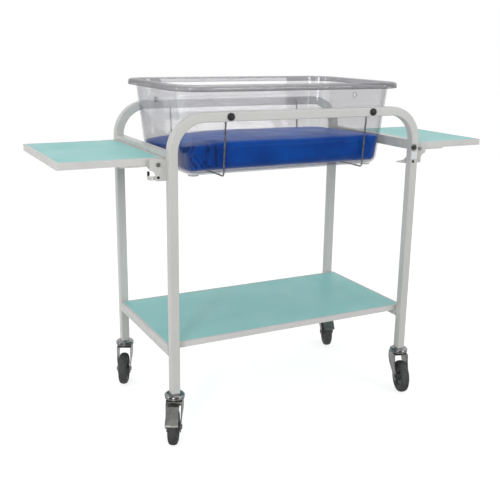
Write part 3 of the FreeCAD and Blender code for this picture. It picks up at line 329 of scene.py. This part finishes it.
def clear_plastic():
    """Clear moulded plastic: a grey tint, darker where a wall is seen on edge, under a sharp sheen."""
    mat, n = material("clear_plastic")
    facing = n.add("LayerWeight", Blend=0.5).outputs["Facing"]
    cloud = n.grey(n.noise(5, 2), 0, 1)
    on_edge = n.ramp(facing, (0.3, (0.897, 0.895, 0.9)), (0.55, (0.805, 0.803, 0.81)),
                     (0.8, (0.78, 0.778, 0.786)), (0.91, (0.66, 0.655, 0.67)), (1.0, (0.2, 0.2, 0.22)))
    tint = n.mix(n.math("MULTIPLY", cloud, 0.3), on_edge, n.mix(0.04, on_edge, (0.4, 0.4, 0.42, 1)))
    # painted shade: dark lines along the lip, the rim's top, the foot and in the end holes
    tint = n.mix(painted_rim_shade(n), tint, (0.34, 0.33, 0.35, 1))
    shadow = n.add("LightPath").outputs["Is Shadow Ray"]
    tint = n.mix(shadow, tint, (0.97, 0.97, 0.97, 1))
    window = n.add("BsdfTransparent")
    n.link(tint, window.inputs["Color"])
    sheen = n.add("BsdfGlossy", Color=(0.95, 0.95, 0.96, 1))
    n.link(n.grey(n.noise(30, 4), 0.02, 0.04), sheen.inputs["Roughness"])
    # Schlick's curve, alike from both sides of a wall
    share = n.math("ADD", n.math("MULTIPLY", n.math("POWER", facing, 5.0), 0.4), 0.04)
    # fine scratches haze the walls above the mattress
    split = n.add("SeparateXYZ")
    n.link(n.add("TexCoord").outputs["Object"], split.inputs[0])
    height = n.grey(split.outputs["Z"], 0, 0.075, 0.82, 0.86)
    haze = n.math("MULTIPLY", height, n.grey(n.noise(16, 3), 0.8, 1))
    scuffed = n.add("MixShader")
    n.link(n.math("MULTIPLY", haze, n.math("SUBTRACT", 1.0, shadow)), scuffed.inputs[0])
    n.link(window.outputs[0], scuffed.inputs[1])
    n.link(n.add("BsdfDiffuse", Color=(0.92, 0.92, 0.93, 1)).outputs[0], scuffed.inputs[2])
    both = n.add("MixShader")
    n.link(share, both.inputs[0])
    n.link(scuffed.outputs[0], both.inputs[1])
    n.link(sheen.outputs[0], both.inputs[2])
    n.output(both.outputs[0])
    return mat


def crumple(n, coords):
    """Fine slanting folds, in bump and in painted shade along them only, and their place: the front's left end,
    faintly the right.
    """
    slant = n.add("Mapping")
    slant.inputs["Rotation"].default_value = (0, -0.75, 0)
    slant.inputs["Scale"].default_value = (1, 0.5, 0.3)
    n.link(coords, slant.inputs["Vector"])
    tex = n.add("TexNoise", Scale=48, Detail=1.5, Roughness=0.5)
    n.link(slant.outputs["Vector"], tex.inputs["Vector"])
    ridge = n.math("ABSOLUTE", n.math("SUBTRACT", tex.outputs["Fac"], 0.5))
    folds = n.grey(ridge, 1, 0, 0.0, 0.05)
    split = n.add("SeparateXYZ")
    n.link(coords, split.inputs[0])
    left = n.grey(split.outputs["X"], 1, 0, -0.29, -0.2)
    right = n.grey(split.outputs["X"], 0, 0.35, 0.2, 0.27)
    side = n.grey(split.outputs["Y"], 1, 0, MID_Y - 0.168, MID_Y - 0.14)
    return folds, n.math("MULTIPLY", n.math("ADD", left, right), side)


def coated_cloth():
    """Blue wipe-clean cloth: a fine weave under a glossy coat that goes pale at low angles."""
    mat, n = material("blue_coated_cloth")
    coords = n.add("TexCoord").outputs["Object"]
    weave = []
    for axis in ("X", "Y"):
        wave = n.add("TexWave", wave_type="BANDS", bands_direction=axis, Scale=420, Distortion=0.4)
        n.link(coords, wave.inputs["Vector"])
        weave.append(wave.outputs["Fac"])
    height = n.math("MULTIPLY", weave[0], weave[1])
    cloud = n.grey(n.noise(7, 4, 0.6), 0, 1)
    base = n.mix(cloud, srgb(0, 98, 208), srgb(0, 68, 158))
    base = n.mix(n.math("MULTIPLY", height, 0.15), base, srgb(4, 96, 204))
    # painted shade: the cover goes dark where its surface is hollow, in the creases
    pointy = n.add("NewGeometry").outputs["Pointiness"]
    base = n.mix(n.grey(pointy, 0.85, 0, 0.43, 0.497), base, srgb(0, 20, 70))
    folds, tucked = crumple(n, coords)
    # painted shade darkens the cover along the fine folds
    base = n.mix(n.math("MULTIPLY", folds, n.math("MULTIPLY", tucked, 0.75)), base, srgb(0, 24, 78))
    normal = n.bump(height, 0.1, 0.0002)
    normal = n.bump(n.math("MULTIPLY", folds, tucked), 0.6, 0.003, normal)
    normal = n.bump(n.noise(28, 5, 0.55), 0.2, 0.003, normal)
    principled(n, base, n.grey(n.noise(18, 4), 0.3, 0.42), normal, Specular_IOR_Level=0.12, Coat_Weight=0.1,
               Coat_Roughness=0.2, Sheen_Weight=0.04, Sheen_Roughness=0.35, Sheen_Tint=(0.3, 0.55, 1, 1),
               Specular_Tint=(0.35, 0.6, 1, 1), Coat_Tint=(0.6, 0.8, 1, 1))
    return mat


PAINT = paint()
# painted light: the spring covers get a lighter copy of the frame's paint
LIT_COPY_PAINT = paint("cover_paint_lit_copy", (224, 224, 226))
LAMINATE = laminate()
EDGING = edging()
ZINC = zinc()
DULL_ZINC = zinc("dull_zinc", (0.34, 0.5), (140, 140, 138), (112, 112, 111))
# dark steel for the rail bolts; on the catch rivets it also paints the shadow at the catch's pivot
DARK_STEEL_AND_SHADE = zinc("dark_steel_and_pivot_shade", (0.3, 0.45), (74, 74, 74), (52, 52, 53))
CHROME = zinc("chrome_race", (0.05, 0.12), (156, 156, 158), (126, 126, 128))
WIRE = wire_steel()
BLACK = black_plastic()
RUBBER = rubber()
HUB = grey_plastic()
CLEAR = clear_plastic()
CLOTH = coated_cloth()


# CAD pieces get their materials, rounded edges and smooth shading

def smooth(mesh, angle=35):
    mesh.shade_smooth()
    mesh.set_sharp_from_angle(angle=math.radians(angle))


def dress(name, mat, bevel):
    """Gives a CAD piece its material and, unless bevel is 0, edges rounded by that radius."""
    piece = NODES[name]
    piece.data.materials.clear()
    piece.data.materials.append(mat)
    weld = piece.modifiers.new("weld", "WELD")
    weld.merge_threshold = 0.000002
    if bevel:
        soft = piece.modifiers.new("soft_edges", "BEVEL")
        soft.width = bevel
        soft.segments = 2
        soft.limit_method = "ANGLE"
        soft.angle_limit = math.radians(40)
        soft.harden_normals = True
    smooth(piece.data)
    flat = piece.modifiers.new("flat_faces", "WEIGHTED_NORMAL")
    flat.keep_sharp = True


# material, radius of the edges, and how the pieces' names start
FINISHES = [
    (PAINT, 0.0004, ("side_frame", "upper_end_rail", "lower_end_rail")),
    (LAMINATE, 0.0004, ("shelf_board", "leaf_left_board", "leaf_right_board")),
    (EDGING, 0.0003, ("shelf_edging", "leaf_left_edging", "leaf_right_edging")),
    (PAINT, 0.0003, ("leaf_bracket", "leaf_arm", "release_lever", "spring_catch")),
    # the spring covers: a lighter copy of the frame paint, painted light
    (LIT_COPY_PAINT, 0.0003, ("spring_covers",)),
    (ZINC, 0.0003, ("hinge_", "rail_washers", "leaf_screws", "shelf_screws")),
    # the catch rivets are dark to paint the shadow at the catch's pivot
    (DARK_STEEL_AND_SHADE, 0.0003, ("rail_bolts", "catch_rivets")),
    (DULL_ZINC, 0.0003, ("fork", "axle", "brake_pedal")),
    (CHROME, 0.0003, ("caster_stems",)),
    (WIRE, 0, ("wire_cradle",)),
    (BLACK, 0.0002, ("cradle_knobs", "catch_tip", "leg_plugs")),
    (RUBBER, 0.0008, ("tyre",)),
    (HUB, 0.0004, ("hub",)),
    (CLEAR, 0, ("tub",)),
]
for finish, edge_radius, words in FINISHES:
    for name in [name for name in NODES if name.startswith(words)]:
        dress(name, finish, edge_radius)


# Floor, backdrop and light. Reflections show a white sweep behind the crib and a dimmer room in front of it.

AMBIENT = 0.54           # the world's light on the object
FLOOR_GLOW = 0.75        # how bright the floor looks by itself
FLOOR_HALF = 14


def room(n, where, direction, start, end, low):
    """Falls from 1 behind the crib to low in the room in front of it, along a direction."""
    dot = n.add("VectorMath", operation="DOT_PRODUCT")
    dot.inputs[1].default_value = direction
    n.link(where, dot.inputs[0])
    return n.grey(dot.outputs["Value"], low, 1.0, start, end)


def ray_kinds(n):
    """What the camera sees, straight or through the tub, and what shows only in reflections."""
    path = n.add("LightPath")
    direct = n.math("MAXIMUM", path.outputs["Is Camera Ray"], path.outputs["Is Transmission Ray"])
    soft = n.math("MINIMUM", path.outputs["Diffuse Depth"], 1.0)
    sharp = n.math("SUBTRACT", 1.0, soft)
    mirrored = n.math("MULTIPLY", sharp, n.math("MINIMUM", path.outputs["Glossy Depth"], 1.0))
    seen = n.math("MULTIPLY", n.math("MULTIPLY", direct, sharp), n.math("SUBTRACT", 1.0, mirrored))
    return seen, mirrored


def add_floor():
    mesh = bpy.data.meshes.new("floor")
    corners = [(FLOOR_HALF * x, FLOOR_HALF * y, 0) for x, y in ((-1, -1), (1, -1), (1, 1), (-1, 1))]
    mesh.from_pydata(corners, [], [(0, 1, 2, 3)])
    floor = bpy.data.objects.new("floor", mesh)
    scene.collection.objects.link(floor)
    mat, n = material("pale_floor")
    seen, mirrored = ray_kinds(n)
    light = room(n, n.add("TexCoord").outputs["Object"], (0, 1, 0), -1.9, 0.3, 0.08)
    plain = n.add("BsdfDiffuse", Color=(0.5, 0.5, 0.5, 1))
    glow = n.add("Emission", Color=(1, 1, 1, 1))
    share = n.math("MAXIMUM", seen, n.math("MULTIPLY", mirrored, light))
    n.link(n.math("MULTIPLY", share, FLOOR_GLOW), glow.inputs["Strength"])
    both = n.add("AddShader")
    n.link(plain.outputs[0], both.inputs[0])
    n.link(glow.outputs[0], both.inputs[1])
    dim = n.add("MixShader")
    n.link(n.math("MULTIPLY", mirrored, n.math("SUBTRACT", 1.0, light)), dim.inputs[0])
    n.link(both.outputs[0], dim.inputs[1])
    n.link(n.add("Emission", Color=(0.07, 0.07, 0.07, 1)).outputs[0], dim.inputs[2])
    n.output(dim.outputs[0])
    mesh.materials.append(mat)


def add_world():
    world = bpy.data.worlds.new("studio")
    scene.world = world
    world.use_nodes = True
    n = Nodes(world.node_tree)
    seen, mirrored = ray_kinds(n)
    light = room(n, n.add("TexCoord").outputs["Generated"], (0.35, 0.8, 0.5), -0.35, 0.4, 0.06)
    extra = n.math("MULTIPLY", mirrored, n.math("SUBTRACT", light, AMBIENT))
    strength = n.math("ADD", n.math("ADD", n.math("MULTIPLY", seen, 1 - AMBIENT), extra), AMBIENT)
    sky = n.add("Background", Color=(1, 1, 1, 1))
    n.link(strength, sky.inputs["Strength"])
    out = n.add("OutputWorld")
    n.link(sky.outputs[0], out.inputs["Surface"])


def add_light(name, place, aim, size, power):
    data = bpy.data.lights.new(name, "AREA")
    data.shape = "RECTANGLE"
    data.size, data.size_y = size
    data.energy = power
    lamp = bpy.data.objects.new(name, data)
    lamp.location = place
    lamp.rotation_euler = (Vector(aim) - Vector(place)).to_track_quat("-Z", "Y").to_euler()
    scene.collection.objects.link(lamp)


add_floor()
add_world()
add_light("key", (-2.0, -3.0, 2.0), (0, 0, 0.6), (1.6, 1.6), 17)
add_light("panel", (1.35, -2.7, 1.25), (0, 0.2, 0.9), (0.9, 0.7), 14)
add_light("top", (0.2, 0.4, 3.4), (0, 0, 0.5), (2.2, 2.2), 12)
add_light("strip_left", (-2.2, -2.3, 1.25), (0.2, 0.1, 0.8), (0.42, 1.7), 23)
add_light("strip_side", (-2.94, 0.3, 1.2), (0.2, 0.1, 0.8), (0.32, 1.7), 9)
add_light("strip_right", (1.9, -2.2, 1.3), (0, 0, 0.8), (0.2, 1.8), 5)


# Mattress: a foam pad in a coated cover, pressed against the tub's walls

GAP = 0.0006             # between the pad and the tub
PAD_LOW = TUB_FLOOR + TUB_WALL + GAP
CAD_HALF = (0.304, 0.170)
CAD_TALL = 0.080
VOXEL = 0.005
SWELL_CAP = 0.010        # the farthest that the simulation moves a point
SWELL_RISE = 0.3         # the share of its upward moves that is kept
SWELL_EDGE = 0.06        # where they fade out towards the pad's edge
UNDER_LIFT, UNDER_EDGE = 0.012, 0.07
PRESS = 0.006            # how far the pad's sides would stand into the walls if they could
HEEL = 0.022             # radius between the tub's inner walls and floor
TUB_LOW = (0.31175, 0.178, 0.046)    # the tub's outside at its floor: half length, half width, corner
TUB_FLARE = (0.025, 0.022, 0.014)    # what each gains up to the mouth
TUB_RISE = 0.2352                    # from the floor to the mouth


def between(x, stops):
    """A value interpolated between (position, value) stops."""
    if x <= stops[0][0]:
        return stops[0][1]
    for (a, one), (b, two) in zip(stops, stops[1:]):
        if x <= b:
            t = (x - a) / (b - a)
            return one + (two - one) * t * t * (3 - 2 * t)
    return stops[-1][1]


# height of the pad's top along its front and rear edge
FRONT_EDGE = [(-0.328, 0.802), (-0.243, 0.809), (-0.204, 0.8135), (-0.082, 0.813), (0.1, 0.812),
              (0.228, 0.812), (0.269, 0.809), (0.31, 0.805)]
REAR_EDGE = [(-0.309, 0.783), (-0.192, 0.795), (-0.075, 0.801), (0.103, 0.8), (0.25, 0.8), (0.31, 0.795)]


def from_edge(co, reach):
    """0 at the CAD pad's edge, rising to 1 at a distance from it."""
    inside = min(CAD_HALF[0] - abs(co.x - TUB_X), CAD_HALF[1] - abs(co.y - MID_Y))
    return min(max(inside / reach, 0), 1)


def pad_lift(co):
    """How far the pad's underside stands off the floor, towards its edge."""
    return UNDER_LIFT * (1 - from_edge(co, UNDER_EDGE)) ** 1.5


def pad_top(x, y):
    """Height of the pad's top: higher along the front wall, and sagging to the left."""
    across = min(max((y - MID_Y) / 0.18, -1), 1)
    share = (1 - across) / 2
    return between(x, REAR_EDGE) * (1 - share) + between(x, FRONT_EDGE) * share


def inner_half(z):
    """Half length, half width and corner radius of the tub's inside at a height."""
    t = (z - TUB_FLOOR) / TUB_RISE
    return [low + flare * t - TUB_WALL for low, flare in zip(TUB_LOW, TUB_FLARE)]


def keep_inside(co):
    """Pushes a point back inside the tub's walls and above its floor, with its rounded heel."""
    z = max(co.z, PAD_LOW)
    long, wide, corner = inner_half(z)
    if z < PAD_LOW + HEEL:
        rise = HEEL - (z - PAD_LOW)
        tuck = HEEL - math.sqrt(max(HEEL * HEEL - rise * rise, 0))
        long, wide, corner = long - tuck, wide - tuck, max(corner - tuck, 0.01)
    long, wide = long - GAP, wide - GAP
    x, y = co.x - TUB_X, co.y - MID_Y
    sx, sy = math.copysign(1, x), math.copysign(1, y)
    x, y = abs(x), abs(y)
    dx, dy = x - (long - corner), y - (wide - corner)
    if dx > 0 and dy > 0:
        reach = math.hypot(dx, dy)
        if reach > corner:
            x, y = long - corner + dx * corner / reach, wide - corner + dy * corner / reach
    x, y = min(x, long), min(y, wide)
    return Vector((sx * x + TUB_X, sy * y + MID_Y, z))


def furrow(distance, width):
    """1 in the middle of a crease, falling to 0 at its width."""
    t = min(abs(distance) / width, 1)
    return (1 - t * t) ** 2


def from_line(p, a, b):
    """Distance of a point from a segment, in two dimensions, and the share along it."""
    along = Vector(b) - Vector(a)
    t = (Vector(p) - Vector(a)).dot(along) / along.length_squared
    held = min(max(t, 0), 1)
    return (Vector(p) - Vector(a) - along * held).length, held


# creases of each side: (start, end, width, depth), with points (along the side, height over the floor)
FRONT_CREASES = [
    ((-0.302, 0.046), (-0.268, 0.006), 0.007, 0.007), ((-0.290, 0.048), (-0.256, 0.010), 0.006, 0.006),
    ((-0.312, 0.034), (-0.290, 0.004), 0.006, 0.006), ((-0.241, 0.082), (-0.238, 0.004), 0.007, 0.010),
    ((-0.252, 0.07), (-0.250, 0.03), 0.005, 0.004), ((-0.270, 0.076), (-0.262, 0.040), 0.006, 0.004),
    ((-0.226, 0.05), (-0.222, 0.010), 0.006, 0.004), ((0.272, 0.050), (0.236, 0.008), 0.008, 0.006),
    ((0.24, 0.072), (0.262, 0.034), 0.006, 0.004),
]
REAR_CREASES = [
    ((0.29, 0.060), (0.225, 0.008), 0.009, 0.0045), ((0.26, 0.058), (0.21, 0.012), 0.007, 0.003),
    ((-0.28, 0.052), (-0.232, 0.008), 0.008, 0.004), ((0.04, 0.074), (0.052, 0.01), 0.006, 0.0025),
]
END_CREASES = [
    ((-0.132, 0.055), (-0.096, 0.008), 0.008, 0.004), ((0.138, 0.058), (0.09, 0.01), 0.008, 0.004),
]


def side_dent(co, normal):
    """How far a point on the pad's side sinks in at the creases."""
    if abs(normal.y) > abs(normal.x):
        flat = (co.x, co.z - PAD_LOW)
        creases = FRONT_CREASES if normal.y < 0 else REAR_CREASES
    else:
        flat = (co.y - MID_Y, co.z - PAD_LOW)
        creases = END_CREASES
    sink = 0
    for a, b, width, depth in creases:
        distance, share = from_line(flat, a, b)
        fade = 0.35 + 0.65 * math.sin(math.pi * (0.15 + 0.7 * share))
        sink = max(sink, depth * furrow(distance, width) * fade)
    return sink


def top_dent(co):
    """Shallow unevenness of the top, broad and fine."""
    broad = noise.noise(Vector((co.x * 9, co.y * 11, 4.2)))
    fine = noise.noise(Vector((co.x * 34, co.y * 26, 1.7)))
    return 0.0016 * broad + 0.0005 * fine


def swell(piece, rest):
    """Blows the cover up a little by cloth simulation and returns how far each point moved."""
    cloth = piece.modifiers.new("cloth", "CLOTH")
    cloth.settings.use_pressure = True
    cloth.settings.uniform_pressure_force = 4
    cloth.settings.effector_weights.gravity = 0
    cloth.settings.shrink_min = -0.03
    cloth.settings.tension_stiffness = 25
    cloth.settings.bending_stiffness = 0.3
    for number in range(1, 21):
        scene.frame_set(number)
    depsgraph = bpy.context.evaluated_depsgraph_get()
    blown = bpy.data.meshes.new_from_object(piece.evaluated_get(depsgraph))
    piece.modifiers.clear()
    moves = [v.co - start for v, start in zip(blown.vertices, rest)]
    scene.frame_set(1)
    return [move * min(1, SWELL_CAP / max(move.length, 1e-9)) for move in moves]


def make_mattress():
    piece = bpy.data.objects.new("mattress_cover", NODES["mattress"].data.copy())
    scene.collection.objects.link(piece)
    remesh = piece.modifiers.new("remesh", "REMESH")
    remesh.mode = "VOXEL"
    remesh.voxel_size = VOXEL
    depsgraph = bpy.context.evaluated_depsgraph_get()
    piece.data = bpy.data.meshes.new_from_object(piece.evaluated_get(depsgraph))
    piece.modifiers.clear()
    rest = [v.co.copy() for v in piece.data.vertices]
    moves = swell(piece, rest)
    for v, start, move in zip(piece.data.vertices, rest, moves):
        height = (start.z - PAD_LOW) / CAD_TALL
        low = PAD_LOW + pad_lift(start)
        lift = move.z * height * SWELL_RISE * from_edge(start, SWELL_EDGE)
        z = low + height * (pad_top(start.x, start.y) - low) + lift
        long, wide, _ = inner_half(z)
        x = TUB_X + (start.x - TUB_X) * (long + PRESS) / CAD_HALF[0] + move.x
        y = MID_Y + (start.y - MID_Y) * (wide + PRESS) / CAD_HALF[1] + move.y
        v.co = keep_inside(Vector((x, y, z)))
    piece.data.update()
    normals = [v.normal.copy() for v in piece.data.vertices]
    for v, normal in zip(piece.data.vertices, normals):
        if abs(normal.z) < 0.6:
            v.co -= Vector((normal.x, normal.y, 0)) * side_dent(v.co, normal)
        elif normal.z > 0:
            v.co.z += top_dent(v.co)
    piece.data.materials.clear()
    piece.data.materials.append(CLOTH)
    piece.data.shade_smooth()
    fine = piece.modifiers.new("fine", "SUBSURF")
    fine.levels = fine.render_levels = 1
    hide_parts("mattress")
    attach(piece, "mattress")


make_mattress()
